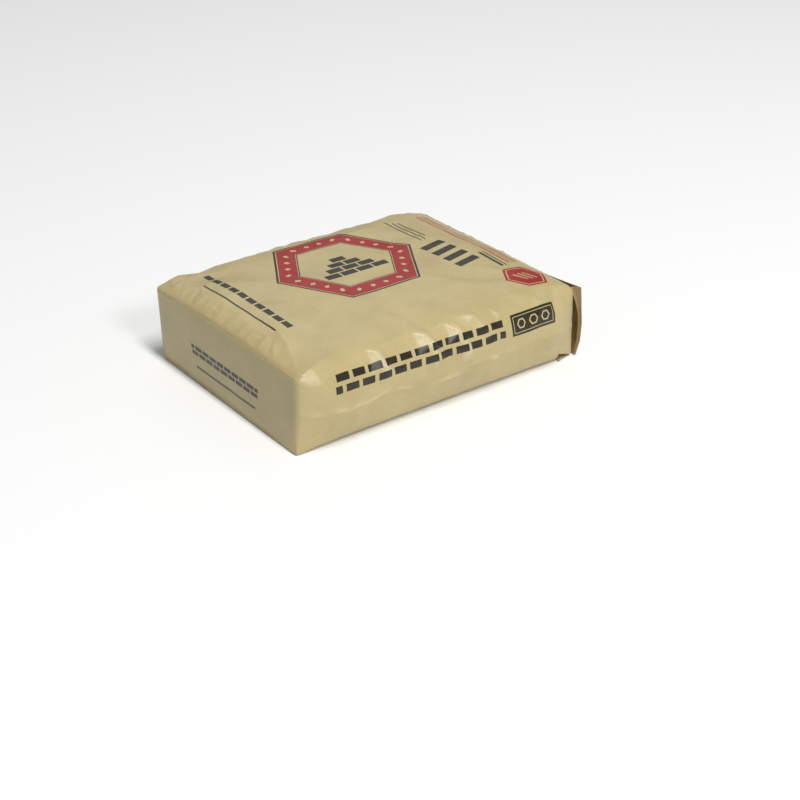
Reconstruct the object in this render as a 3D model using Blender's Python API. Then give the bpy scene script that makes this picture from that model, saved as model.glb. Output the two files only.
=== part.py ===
"""A filled block-bottom valve sack of cement, lying flat.

+X runs along the sack from its closed end to its valve end, +Y across it, +Z up.
The origin is on the floor, midway between the two end walls and the two sides.
"""

import math

import bmesh
import bpy
from mathutils import Vector

# The block that the two folded ends hold, in metres.
SACK_LENGTH = 0.530
SACK_WIDTH = 0.390
END_HEIGHT = 0.122

# How the cement swells the sack between its ends.
CLOSED_END_CROWN = 0.006
VALVE_END_CROWN = 0.0
TOP_CROWN = 0.010
CROWN_POWER = 2.2
SHOULDER_RISE = 0.0115
SHOULDER_BULGE = 0.0155
SIDE_BULGE = 0.021
SWELL_REACH = 0.077
SWELL_POWER = 2.8
CREASE_HEIGHT = 0.053
CREASE_PROUD = 0.0004

# Radii of the four long edges, at an end's sharp folds and in the swollen middle.
FOLD_RADIUS = 0.0025
SHOULDER_RADIUS = 0.033
HEEL_RADIUS = 0.008
CREASE_RADIUS = 0.010

# The main folds of the near shoulder: the crest's x as a share of half the length, its height, and
# how far its flanks reach towards the closed end and the valve end, in shares too. A minus height
# is a valley.
SHOULDER_FOLDS = (
    (-0.460, 0.0040, 0.080, 0.065),
    (-0.115, 0.0048, 0.100, 0.030),
    (-0.055, -0.0020, 0.030, 0.030),
    (0.100, 0.0050, 0.080, 0.080),
    (0.225, 0.0030, 0.045, 0.040),
)
# How far over its hump a fold is where the shoulder's arc meets the side.
FOLD_START = 0.35

# Paper.
PAPER_WALL = 0.0005
PATCH_THICKNESS = 0.0005
SLEEVE_WALL = 0.0003
PATCH_MARGIN = 0.003

# The valve: the outer flaps of the +X end stand off at its -Y corner, with a flat sleeve in the gap.
MOUTH_GAP = 0.0125
MOUTH_LIP = 0.005
VALVE_REACH = 0.145
SLEEVE_LENGTH = 0.100
SLEEVE_HEIGHT = 0.100
SLEEVE_RECESS = 0.004
WINDOW_LENGTH = 0.030
WINDOW_HEIGHT = 0.070
WINDOW_SETBACK = 0.003

# The gap that glued or touching pieces keep.
CLEARANCE = 0.0003

# How finely the round forms are drawn.
SHOULDER_POINTS = 8
HEEL_POINTS = 4
CREASE_POINTS = 3
TOP_POINTS = 9
BOTTOM_POINTS = 3
STATION_SETBACKS = (0.0, 0.005, 0.012, 0.022, 0.036, 0.054, 0.077)

KRAFT = (0.62, 0.50, 0.30, 1.0)
PATCH_KRAFT = (0.56, 0.45, 0.27, 1.0)
SLEEVE_KRAFT = (0.45, 0.33, 0.19, 1.0)
CEMENT = (0.33, 0.33, 0.31, 1.0)

HALF_LENGTH = SACK_LENGTH / 2
HALF_WIDTH = SACK_WIDTH / 2


def clear_scene():
    for obj in list(bpy.data.objects):
        bpy.data.objects.remove(obj)


def principled(name, colour, roughness):
    material = bpy.data.materials.new(name)
    material.use_nodes = True
    shader = material.node_tree.nodes["Principled BSDF"]
    shader.inputs["Base Color"].default_value = colour
    shader.inputs["Roughness"].default_value = roughness
    shader.inputs["Metallic"].default_value = 0.0
    return material


def add_object(name, bm, material=None):
    """The bmesh as a named object, with its faces turned outwards."""
    bmesh.ops.recalc_face_normals(bm, faces=bm.faces)
    mesh = bpy.data.meshes.new(name)
    bm.to_mesh(mesh)
    bm.free()
    obj = bpy.data.objects.new(name, mesh)
    bpy.context.scene.collection.objects.link(obj)
    if material:
        mesh.materials.append(material)
    return obj


def cut(obj, cutter):
    """Takes the cutter's shape out of the object. The cutter stays as a hidden guide."""
    cutter.hide_render = True
    cutter.display_type = "WIRE"
    boolean = obj.modifiers.new("cut_" + cutter.name, "BOOLEAN")
    boolean.operation = "DIFFERENCE"
    boolean.solver = "EXACT"
    boolean.object = cutter


def mix(start, end, share):
    return start + (end - start) * share


def swell(setback):
    """How far the section has swollen at a distance from its end wall: 0 at the wall, 1 past the reach."""
    return 1 - (1 - min(setback / SWELL_REACH, 1)) ** SWELL_POWER


def fold_height(x):
    """How high the near shoulder's folds stand at x."""
    place = x / HALF_LENGTH
    total = 0.0
    for crest, height, before, after in SHOULDER_FOLDS:
        reach = before if place < crest else after
        total += height * max(0.0, 1 - abs(place - crest) / reach)
    return total


def fold_share(along):
    """How much of a fold's height a point on the shoulder's arc gets: most by the side, none at the top."""
    return math.sin(math.pi * mix(FOLD_START, 1, along))


def inset_corners(corners, inset):
    """A convex outline's corners once each side has moved in by the inset. The outline runs clockwise."""
    moved = []
    count = len(corners)
    for i, corner in enumerate(corners):
        before = (corner - corners[i - 1]).normalized()
        after = (corners[(i + 1) % count] - corner).normalized()
        inward_before = Vector((before.y, -before.x))
        inward_after = Vector((after.y, -after.x))
        bisector = (inward_before + inward_after).normalized()
        moved.append(corner + bisector * (inset / bisector.dot(inward_before)))
    return moved


def round_corner(before, corner, after, radius, points, fold=0.0):
    """Points along the arc that rounds a corner of the outline, pushed out by a fold where it has one."""
    to_before = (before - corner).normalized()
    to_after = (after - corner).normalized()
    half_angle = to_before.angle(to_after) / 2
    bisector = (to_before + to_after).normalized()
    centre = corner + bisector * (radius / math.sin(half_angle))
    start = corner + to_before * (radius / math.tan(half_angle)) - centre
    sweep = math.pi - 2 * half_angle
    arc = []
    for i in range(points):
        along = i / (points - 1)
        angle = -sweep * along
        turned = Vector(
            (
                start.x * math.cos(angle) - start.y * math.sin(angle),
                start.x * math.sin(angle) + start.y * math.cos(angle),
            )
        )
        arc.append(centre + turned * (1 + fold * fold_share(along) / radius))
    return arc


def section(x, inset=0.0):
    """The (y, z) outline at x, clockwise from the near shoulder, moved in by the inset."""
    share = swell(HALF_LENGTH - abs(x))
    shoulder_out = HALF_WIDTH + SHOULDER_BULGE * share
    shoulder_up = END_HEIGHT + SHOULDER_RISE * share
    crease_out = HALF_WIDTH + CREASE_PROUD + SIDE_BULGE * share
    crease_up = mix(END_HEIGHT / 2, CREASE_HEIGHT, share)
    corners = [
        Vector((-shoulder_out, shoulder_up)),
        Vector((shoulder_out, shoulder_up)),
        Vector((crease_out, crease_up)),
        Vector((HALF_WIDTH, 0)),
        Vector((-HALF_WIDTH, 0)),
        Vector((-crease_out, crease_up)),
    ]
    corners = inset_corners(corners, inset)
    shoulder = mix(FOLD_RADIUS, SHOULDER_RADIUS, share) - inset
    heel = mix(FOLD_RADIUS, HEEL_RADIUS, share) - inset
    crease = CREASE_RADIUS - inset
    radii = (shoulder, shoulder, crease, heel, heel, crease)
    arc_points = (SHOULDER_POINTS, SHOULDER_POINTS, CREASE_POINTS, HEEL_POINTS, HEEL_POINTS, CREASE_POINTS)
    points_before = (0, TOP_POINTS, 0, 0, BOTTOM_POINTS, 0)
    folds = (fold_height(x), 0, 0, 0, 0, 0)
    outline = []
    for i, corner in enumerate(corners):
        after = corners[(i + 1) % len(corners)]
        arc = round_corner(corners[i - 1], corner, after, radii[i], arc_points[i], folds[i])
        if outline:
            outline += between(outline[-1], arc[0], points_before[i])
        outline += arc
    end_crown = CLOSED_END_CROWN if x < 0 else VALVE_END_CROWN
    crown = mix(end_crown, TOP_CROWN, share)
    return [Vector((p.x, p.y + crown * crown_share(p, shoulder_out, shoulder_up))) for p in outline]


def between(start, end, points):
    """Evenly spaced points inside a straight run."""
    return [start.lerp(end, (i + 1) / (points + 1)) for i in range(points)]


def crown_share(point, shoulder_out, shoulder_up):
    """How much of the crown a point gets: all at the middle of the top, none at the sides or the base."""
    across = min(abs(point.x) / shoulder_out, 1)
    above = min(max(point.y / shoulder_up, 0), 1)
    return (1 - across**CROWN_POWER) * above * above


def stations():
    """Where the sections stand along X: close together at the ends, and at each fold's crest and feet."""
    at_ends = [side * (HALF_LENGTH - setback) for setback in STATION_SETBACKS for side in (-1, 1)]
    shares = [crest + step for crest, _, before, after in SHOULDER_FOLDS for step in (-before, 0, after)]
    at_folds = [share * HALF_LENGTH for share in shares]
    return sorted({round(x, 6) for x in at_ends + at_folds})


def filled_form(inset=0.0):
    """The swollen block as a bmesh: one end's outline, extruded from station to station.

    Its bent faces are split one way, so that nested forms stay the same distance apart.
    """
    bm = bmesh.new()
    place = bm.verts.layers.int.new("place")
    limit = HALF_LENGTH - inset
    sections = [(max(-limit, min(x, limit)), section(x, inset)) for x in stations()]
    first_x, first_outline = sections[0]
    verts = [bm.verts.new((first_x, p.x, p.y)) for p in first_outline]
    for i, vert in enumerate(verts):
        vert[place] = i
    closed_end = bm.faces.new(verts)
    front = closed_end
    for x, outline in sections[1:]:
        made = bmesh.ops.extrude_face_region(bm, geom=[front])["geom"]
        if front is not closed_end:
            bmesh.ops.delete(bm, geom=[front], context="FACES_ONLY")
        front = next(g for g in made if isinstance(g, bmesh.types.BMFace))
        for vert in front.verts:
            point = outline[vert[place]]
            vert.co = (x, point.x, point.y)
    bent = [face for face in bm.faces if len(face.verts) == 4]
    bmesh.ops.triangulate(bm, faces=bent, quad_method="FIXED")
    return bm


def block(low, high):
    """A plain box between two corners."""
    bm = bmesh.new()
    bmesh.ops.create_cube(bm, size=1)
    low, high = Vector(low), Vector(high)
    bmesh.ops.scale(bm, vec=high - low, verts=bm.verts)
    bmesh.ops.translate(bm, vec=(low + high) / 2, verts=bm.verts)
    return bm


def prism(plan, bottom, top):
    """A plan outline of (x, y) points, extruded from bottom to top."""
    bm = bmesh.new()
    base = bm.faces.new([bm.verts.new((x, y, bottom)) for x, y in plan])
    made = bmesh.ops.extrude_face_region(bm, geom=[base])["geom"]
    verts = [g for g in made if isinstance(g, bmesh.types.BMVert)]
    bmesh.ops.translate(bm, vec=(0, 0, top - bottom), verts=verts)
    return bm


def stand_off(y):
    """How far the valve end's outer flaps stand clear of the end wall at y."""
    return max(0.0, MOUTH_GAP * (1 - (y + HALF_WIDTH) / VALVE_REACH))


def wedge(near, far, wall_gap, flap_gap):
    """The plan of the space between the end wall and the outer flaps, from y = near to y = far."""
    base = HALF_LENGTH + CLEARANCE
    return [
        (base + wall_gap, near),
        (base + stand_off(near) - flap_gap, near),
        (base + stand_off(far) - flap_gap, far),
        (base + wall_gap, far),
    ]


def make_sack_tube(kraft):
    """One sheet of kraft, folded into a hollow tube with two block bottoms. The valve opens into it."""
    tube = add_object("sack_tube", filled_form(), kraft)
    cut(tube, add_object("sack_inside", filled_form(PAPER_WALL)))
    window_near = -HALF_WIDTH + SLEEVE_RECESS + SLEEVE_LENGTH + WINDOW_SETBACK
    middle = END_HEIGHT / 2
    window = block(
        (HALF_LENGTH - 2 * PAPER_WALL, window_near, middle - WINDOW_HEIGHT / 2),
        (HALF_LENGTH + PAPER_WALL, window_near + WINDOW_LENGTH, middle + WINDOW_HEIGHT / 2),
    )
    cut(tube, add_object("valve_window", window))


def make_cement_fill(cement):
    add_object("cement_fill", filled_form(PAPER_WALL + CLEARANCE), cement)


def make_closed_end_patch(patch_kraft):
    face = -HALF_LENGTH - CLEARANCE
    patch = block(
        (face - PATCH_THICKNESS, -HALF_WIDTH + PATCH_MARGIN, PATCH_MARGIN),
        (face, HALF_WIDTH - PATCH_MARGIN, END_HEIGHT - PATCH_MARGIN),
    )
    add_object("closed_end_patch", patch, patch_kraft)


def make_valve_end_patch(patch_kraft):
    """The outer flaps and their cover sheet: flat on the end wall, standing off over the sleeve."""
    base = HALF_LENGTH + CLEARANCE
    near = -HALF_WIDTH - MOUTH_LIP
    bend = -HALF_WIDTH + VALVE_REACH
    far = HALF_WIDTH - PATCH_MARGIN
    plan = [
        (base, near),
        (base + stand_off(near) + PATCH_THICKNESS, near),
        (base + PATCH_THICKNESS, bend),
        (base + PATCH_THICKNESS, far),
        (base, far),
    ]
    low, high = PATCH_MARGIN, END_HEIGHT - PATCH_MARGIN
    patch = add_object("valve_end_patch", prism(plan, low, high), patch_kraft)
    overrun = MOUTH_GAP
    pocket_plan = wedge(near - overrun, bend, -overrun, 0)
    pocket = prism(pocket_plan, low + PATCH_THICKNESS, high - PATCH_THICKNESS)
    cut(patch, add_object("valve_pocket", pocket))


def make_valve_sleeve(sleeve_kraft):
    """A flat paper tube, open at both ends, between the end wall and the outer flaps."""
    near = -HALF_WIDTH + SLEEVE_RECESS
    far = near + SLEEVE_LENGTH
    low = (END_HEIGHT - SLEEVE_HEIGHT) / 2
    high = low + SLEEVE_HEIGHT
    outside = prism(wedge(near, far, 0, CLEARANCE), low, high)
    sleeve = add_object("valve_sleeve", outside, sleeve_kraft)
    overrun = SLEEVE_RECESS
    bore_plan = wedge(near - overrun, far + overrun, SLEEVE_WALL, CLEARANCE + SLEEVE_WALL)
    bore = prism(bore_plan, low + SLEEVE_WALL, high - SLEEVE_WALL)
    cut(sleeve, add_object("sleeve_bore", bore))


def main():
    clear_scene()
    kraft = principled("kraft_paper", KRAFT, 0.55)
    patch_kraft = principled("patch_kraft_paper", PATCH_KRAFT, 0.6)
    sleeve_kraft = principled("sleeve_kraft_paper", SLEEVE_KRAFT, 0.75)
    cement = principled("cement_powder", CEMENT, 0.95)
    make_sack_tube(kraft)
    make_cement_fill(cement)
    make_closed_end_patch(patch_kraft)
    make_valve_end_patch(patch_kraft)
    make_valve_sleeve(sleeve_kraft)


main()
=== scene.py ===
import math
import random

import bmesh
import bpy
import numpy as np
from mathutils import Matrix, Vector, geometry, noise


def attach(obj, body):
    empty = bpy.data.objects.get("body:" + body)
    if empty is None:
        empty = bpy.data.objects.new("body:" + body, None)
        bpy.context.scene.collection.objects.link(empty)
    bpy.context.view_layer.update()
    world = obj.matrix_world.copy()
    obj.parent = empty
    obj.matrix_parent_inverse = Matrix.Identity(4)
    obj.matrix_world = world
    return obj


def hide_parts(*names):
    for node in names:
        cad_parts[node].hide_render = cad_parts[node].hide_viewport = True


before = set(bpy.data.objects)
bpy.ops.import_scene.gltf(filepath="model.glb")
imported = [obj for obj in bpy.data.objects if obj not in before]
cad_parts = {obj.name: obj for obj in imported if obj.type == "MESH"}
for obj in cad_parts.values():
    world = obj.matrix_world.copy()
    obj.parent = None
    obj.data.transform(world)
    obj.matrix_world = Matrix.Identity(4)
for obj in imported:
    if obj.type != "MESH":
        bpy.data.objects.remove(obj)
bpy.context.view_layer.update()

# A filled cement sack, block-bottomed, of kraft paper. Lengths are in metres unless a name ends in MM.
MM = 0.001

# The block that the two folded ends hold, and how the cement swells the sack between them.
LENGTH, WIDTH, HEIGHT = 0.530, 0.390, 0.122
CLOSED_END_CROWN, VALVE_END_CROWN, TOP_CROWN, CROWN_POWER = 0.006, 0.0, 0.010, 2.2
SHOULDER_RISE, SHOULDER_BULGE, SIDE_BULGE = 0.0115, 0.0155, 0.021
SWELL_REACH, SWELL_POWER, CREASE_HEIGHT = 0.077, 2.8, 0.053
FOLD_RADIUS, SHOULDER_RADIUS, HEEL_RADIUS, END_RADIUS = 0.0025, 0.033, 0.008, 0.005

# How far the block's corners have settled out of square, in mm. By end, side and top or bottom: x, y and z.
# The valve end's two lower corners have stayed in place.
CORNER_SHIFTS = {
    (-1, -1, -1): (-3.0, -1.5, 0.0), (-1, -1, 1): (2.0, 0.0, 0.0),
    (-1, 1, -1): (-1.0, 1.0, 0.0), (-1, 1, 1): (-2.0, 5.0, 2.5),
    (1, -1, 1): (-5.5, 0.0, 0.0), (1, 1, 1): (-3.0, 0.0, 2.0),
}
FAR_SHOULDER_LIFT, FAR_SHOULDER_LENGTH, FAR_SHOULDER_SIDE = 0.0025, 0.22, 0.15
# Where the top has sunk or risen as the cement settled: middle x and y, reach along and across, and the lift.
SETTLED_SPOTS = (
    (-0.180, 0.190, 0.052, 0.070, -0.0055),
    (0.232, 0.085, 0.034, 0.075, -0.0026),
    (0.222, 0.190, 0.026, 0.035, 0.0026),
)
# Where the near side's lower edge stands off the floor, by the loose fold.
HEEL_LIFT, HEEL_LIFT_START, HEEL_LIFT_RISE, HEEL_LIFT_FALL = 0.0085, 0.231, 0.004, 0.036
HEEL_LIFT_TOP, HEEL_LIFT_SIDE, HEEL_LIFT_FADE, HEEL_LIFT_LEFT = 0.022, 0.165, 0.02, 0.15

# Grid cells along, across and up the sack before its one subdivision, and how they crowd towards its edges.
CELLS = (96, 84, 24)
END_CROWDING, SIDE_CROWDING = 0.055, 0.035
# A point of the unit cube further out than this lies on a face.
ON_FACE = 0.4999
FLOOR_GAP, END_SLACK = 0.0006, 0.0015

# The cloth pass: its frames, the share of its movement that is kept and the most of it, and the rounds of
# smoothing that find the slow part, which is left out.
CLOTH_FRAMES, CLOTH_SHARE, CLOTH_CAP, SMOOTHING_ROUNDS = 20, 0.6, 0.005, 80
# How much larger than the sack its paper is cut, and what is added at the shoulders and at the ends' bands.
PAPER_CUT, SHOULDER_SPARE, END_SPARE, END_BAND = 1.004, 0.020, 0.040, 0.07
RUFFLE_SIZE, RUFFLE_HEIGHT = 0.012, 0.0006
# The share of the creases before and after the cloth pass, and how a fold's height, in mm, turns the paper
# pale: a painted highlight on the crests, with rubbed wear.
SEED_SHARE, CREASE_SHARE, FOLD_WEAR_AND_HIGHLIGHT, FULL_WEAR_AND_HIGHLIGHT = 0.5, 0.8, 0.5, 2.2

# How far the paper goes from its round form towards flat facets, at a fold and elsewhere, and the lift that
# keeps the sack as full as it was.
FOLD_FLATNESS, PLAIN_FLATNESS, FACET_LIFT = 0.8, 0.55, 0.0014
# The net of facets, in mm on the sheet: how far chance points keep from a fold's sides and ends, the
# heel and each other, the heel's girth and how much less it is at the ends, and the rows of points beside it.
FOLD_ROOM, HEEL_ROOM, SHOULDER_BAND = (8, 5), (314, 342), (110, 330)
SHOULDER_FACET, PLAIN_FACET, CHANCE_POINTS = 20, 34, 2400
HEEL_GIRTH, HEEL_TUCK, HEEL_ROWS = 328, 11, (-7, 5)
# The girth at which the sack curves most.
CURVE_GIRTH, CURVE_REACH = 210, 32
HALF_SHEET, HALF_GIRTH = 265, 516


def linear(hex_colour):
    """An sRGB hex colour as the linear RGBA that Blender's sockets take."""
    channels = [int(hex_colour[i:i + 2], 16) / 255 for i in (0, 2, 4)]
    return (*[c / 12.92 if c <= 0.04045 else ((c + 0.055) / 1.055) ** 2.4 for c in channels], 1.0)


def add(tree, kind, feeds=None, **settings):
    """Adds a shader node with settings. A feed is a plain value, an output, or a node's first output."""
    node = tree.nodes.new("ShaderNode" + kind)
    for name, value in settings.items():
        setattr(node, name, value)
    for socket, source in (feeds or {}).items():
        if isinstance(source, bpy.types.Node):
            source = source.outputs[0]
        if isinstance(source, bpy.types.NodeSocket):
            tree.links.new(source, node.inputs[socket])
        else:
            node.inputs[socket].default_value = source
    return node


def new_material(name):
    """A material with its node tree and its Principled shader."""
    material = bpy.data.materials.new(name)
    material.use_nodes = True
    return material, material.node_tree, material.node_tree.nodes["Principled BSDF"]


# Camera, light and floor.

CAMERA_PLACE, CAMERA_LENS = (-1.2875, -1.8008, 1.1248), 69.24
CAMERA_AZIMUTH, CAMERA_ELEVATION = -36.886, 28.565


def set_camera():
    lens = bpy.data.cameras.new("photo_view")
    lens.sensor_width = 36
    lens.lens = CAMERA_LENS
    lens.clip_start = 0.01
    lens.clip_end = 100
    camera = bpy.data.objects.new("photo_view", lens)
    camera.location = CAMERA_PLACE
    camera.rotation_euler = (math.radians(90 - CAMERA_ELEVATION), 0, math.radians(CAMERA_AZIMUTH))
    bpy.context.scene.collection.objects.link(camera)
    bpy.context.scene.camera = camera


def soft_box(name, place, aim, size, watts):
    light = bpy.data.lights.new(name, "AREA")
    light.shape = "RECTANGLE"
    light.size, light.size_y = size
    light.energy = watts
    lamp = bpy.data.objects.new(name, light)
    lamp.location = place
    lamp.rotation_euler = (Vector(aim) - Vector(place)).to_track_quat("-Z", "Y").to_euler()
    bpy.context.scene.collection.objects.link(lamp)


def set_studio():
    world = bpy.data.worlds.new("studio")
    world.use_nodes = True
    world.node_tree.nodes["Background"].inputs["Color"].default_value = linear("f4f6f8")
    world.node_tree.nodes["Background"].inputs["Strength"].default_value = 0.26
    bpy.context.scene.world = world
    bpy.context.scene.view_settings.view_transform = "Standard"
    soft_box("key", (0.1, -3.1, 8.3), (0, 0, 0.05), (1.0, 4.4), 545)
    soft_box("front", (-0.3, -5.4, 3.9), (0, 0, 0.05), (1.2, 1.2), 118)
    soft_box("back", (2.6, 4.6, 3.9), (0, 0, 0.1), (3.6, 2.4), 24)
    floor = bmesh.new()
    bmesh.ops.create_circle(floor, cap_ends=True, segments=96, radius=40)
    put("studio_floor", floor, studio_paper(), smooth=False)


def studio_paper():
    """Matt paper floor of a photo studio: near white, no shine."""
    material, _, shader = new_material("studio_floor_paper")
    shader.inputs["Base Color"].default_value = linear("f8f8f7")
    shader.inputs["Roughness"].default_value = 0.9
    return material


def put(name, bm, material, smooth=True):
    """The bmesh as a named object with its material."""
    for face in bm.faces:
        face.smooth = smooth
    mesh = bpy.data.meshes.new(name)
    bm.to_mesh(mesh)
    bm.free()
    piece = bpy.data.objects.new(name, mesh)
    bpy.context.scene.collection.objects.link(piece)
    mesh.materials.append(material)
    return piece


# The sack's form.

def coords(mesh, layer="co"):
    values = np.empty(len(mesh.vertices) * 3)
    mesh.vertices.foreach_get(layer, values)
    return values.reshape(-1, 3)


def move_points(mesh, place):
    mesh.vertices.foreach_set("co", place.ravel())
    mesh.update()


def cube_grid(cells):
    """A unit cube whose faces are grids with that many cells along each axis."""
    bm = bmesh.new()
    bmesh.ops.create_cube(bm, size=1)
    for axis, count in enumerate(cells):
        edges = [e for e in bm.edges if abs((e.verts[0].co - e.verts[1].co)[axis]) > 0.5]
        bmesh.ops.subdivide_edges(bm, edges=edges, cuts=count - 1, use_grid_fill=True)
    return bm


def mix(start, end, share):
    return start + (end - start) * share


def swell(x):
    """Share of the full swelling at x: none at the end walls, all past the reach."""
    setback = np.clip((LENGTH / 2 - np.abs(x)) / SWELL_REACH, 0, 1)
    return 1 - (1 - setback) ** SWELL_POWER


def swollen(unit):
    """Where the points of the unit cube lie on the filled sack."""
    x = (unit[:, 0] + END_CROWDING * np.sin(2 * np.pi * unit[:, 0])) * LENGTH
    across = 2 * (unit[:, 1] + SIDE_CROWDING * np.sin(2 * np.pi * unit[:, 1]))
    up = unit[:, 2] + 0.5
    share = swell(x)
    half = WIDTH / 2
    z = up * HEIGHT
    crease_share = CREASE_HEIGHT / HEIGHT
    upper = mix(SIDE_BULGE, SHOULDER_BULGE, np.clip((up - crease_share) / (1 - crease_share), 0, 1))
    lower = SIDE_BULGE * np.clip(up / crease_share, 0, 1)
    bulge = np.where(up > crease_share, upper, lower)
    y = across * (half + share * bulge)
    end_crown = np.where(x < 0, CLOSED_END_CROWN, VALVE_END_CROWN)
    crown = mix(end_crown, TOP_CROWN, share) * (1 - np.abs(across) ** CROWN_POWER)
    z = z + share * SHOULDER_RISE * up + crown * up ** 2
    top_radius = mix(FOLD_RADIUS, SHOULDER_RADIUS, share)
    heel_radius = mix(FOLD_RADIUS, HEEL_RADIUS, share)
    y, z = round_edge(y, z, half + share * SHOULDER_BULGE, HEIGHT + share * SHOULDER_RISE, top_radius, 1)
    y, z = round_edge(y, z, half, 0 * z, heel_radius, -1)
    end_top = HEIGHT + end_crown * (1 - np.clip(np.abs(y) / half, 0, 1) ** CROWN_POWER)
    x, z = round_edge(x, z, LENGTH / 2, end_top, END_RADIUS, 1)
    y, wall = round_edge(y, np.abs(x), half, LENGTH / 2, END_RADIUS, 1)
    x = np.sign(x) * wall
    return np.stack([x, y, z + FLOOR_GAP * (1 - up)], axis=1)


def round_edge(y, z, edge_y, edge_z, radius, up):
    """Pulls the points near an edge onto its arc, on both sides of the sack."""
    side = np.where(y < 0, -1, 1)
    out = np.abs(y) - (edge_y - radius)
    above = (z - (edge_z - up * radius)) * up
    inside = (out > 0) & (above > 0)
    reach = np.maximum(np.hypot(out, above), 1e-9)
    pull = np.where(inside, np.maximum(out, above) / reach, 1)
    new_y = side * (edge_y - radius + out * pull)
    new_z = edge_z - up * radius + up * above * pull
    return np.where(inside, new_y, y), np.where(inside, new_z, z)


def settled(place):
    """The points moved as the block has settled out of square, by shares of its corners' shifts."""
    share_x = np.clip(place[:, 0] / LENGTH + 0.5, 0, 1)
    share_y = np.clip(place[:, 1] / WIDTH + 0.5, 0, 1)
    share_z = np.clip(place[:, 2] / HEIGHT, 0, 1)
    moved = place.copy()
    for (end, side, top), shift in CORNER_SHIFTS.items():
        share = (share_x if end > 0 else 1 - share_x) * (share_y if side > 0 else 1 - share_y)
        share = share * (share_z if top > 0 else 1 - share_z)
        moved += share[:, None] * np.array(shift) * MM
    middle = np.clip(1 - (place[:, 0] / FAR_SHOULDER_LENGTH) ** 2, 0, 1)
    far = np.clip(place[:, 1] / FAR_SHOULDER_SIDE, 0, 1)
    moved[:, 2] += FAR_SHOULDER_LIFT * middle * share_z ** 2 * far ** 2
    for x, y, along, across, lift in SETTLED_SPOTS:
        away = ((place[:, 0] - x) / along) ** 2 + ((place[:, 1] - y) / across) ** 2
        moved[:, 2] += lift * np.exp(-away) * share_z ** 2
    return moved


def settle(bm):
    """Moves a piece's vertices with the settled block."""
    place = np.array([vert.co for vert in bm.verts])
    for vert, spot in zip(bm.verts, settled(place)):
        vert.co = spot


def girth(unit, place):
    """How far round the sack each point lies from the top's centre line, minus on the near side."""
    y, z = unit[:, 1], unit[:, 2]
    flat = np.where(z > ON_FACE, np.abs(y), np.where(z < -ON_FACE, 2 - np.abs(y), 1 - z))
    side = np.where(y < 0, -1, 1)
    arc = np.zeros(len(unit))
    columns = np.round(unit[:, 0] * 2 * CELLS[0]).astype(int)
    order = np.lexsort((flat, side, columns))
    step = place[order[1:]] - place[order[:-1]]
    length = np.hypot(step[:, 1], step[:, 2])
    turn = (columns[order[1:]] != columns[order[:-1]]) | (side[order[1:]] != side[order[:-1]])
    first = np.abs(place[order][:, 1])
    total = 0.0
    for i, vertex in enumerate(order):
        total = first[i] if i == 0 or turn[i - 1] else total + length[i - 1]
        arc[vertex] = total
    return arc * side


# Creases in the paper.

def beside(points, u, v):
    """Distance to a path in the sheet, and how far along it, from 0 to 1."""
    points = np.array(points, float)
    lengths = np.hypot(*np.diff(points, axis=0).T)
    run = np.concatenate([[0], np.cumsum(lengths)]) / lengths.sum()
    best = np.full(len(u), 1e9)
    along = np.zeros(len(u))
    for i, (start, end) in enumerate(zip(points[:-1], points[1:])):
        way = end - start
        share = np.clip(((u - start[0]) * way[0] + (v - start[1]) * way[1]) / (way @ way), 0, 1)
        distance = np.hypot(u - start[0] - way[0] * share, v - start[1] - way[1] * share)
        nearer = distance < best
        best = np.where(nearer, distance, best)
        along = np.where(nearer, run[i] + (run[i + 1] - run[i]) * share, along)
    return best, along


def crease(points, width, height, u, v):
    """Paper bent along a path: a sharp ridge, or a valley if height is minus, highest half way along."""
    left, low = np.min(points, axis=0) - 2 * width
    right, high = np.max(points, axis=0) + 2 * width
    near = np.nonzero((u > left) & (u < right) & (v > low) & (v < high))[0]
    rise = np.zeros(len(u))
    if len(near):
        distance, along = beside(points, u[near], v[near])
        ends = np.clip(along / 0.5, 0, 1) * np.clip((1 - along) / 0.5, 0, 1)
        rise[near] = height * np.clip(1 - distance / width, 0, 1) * ends
    return rise


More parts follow.
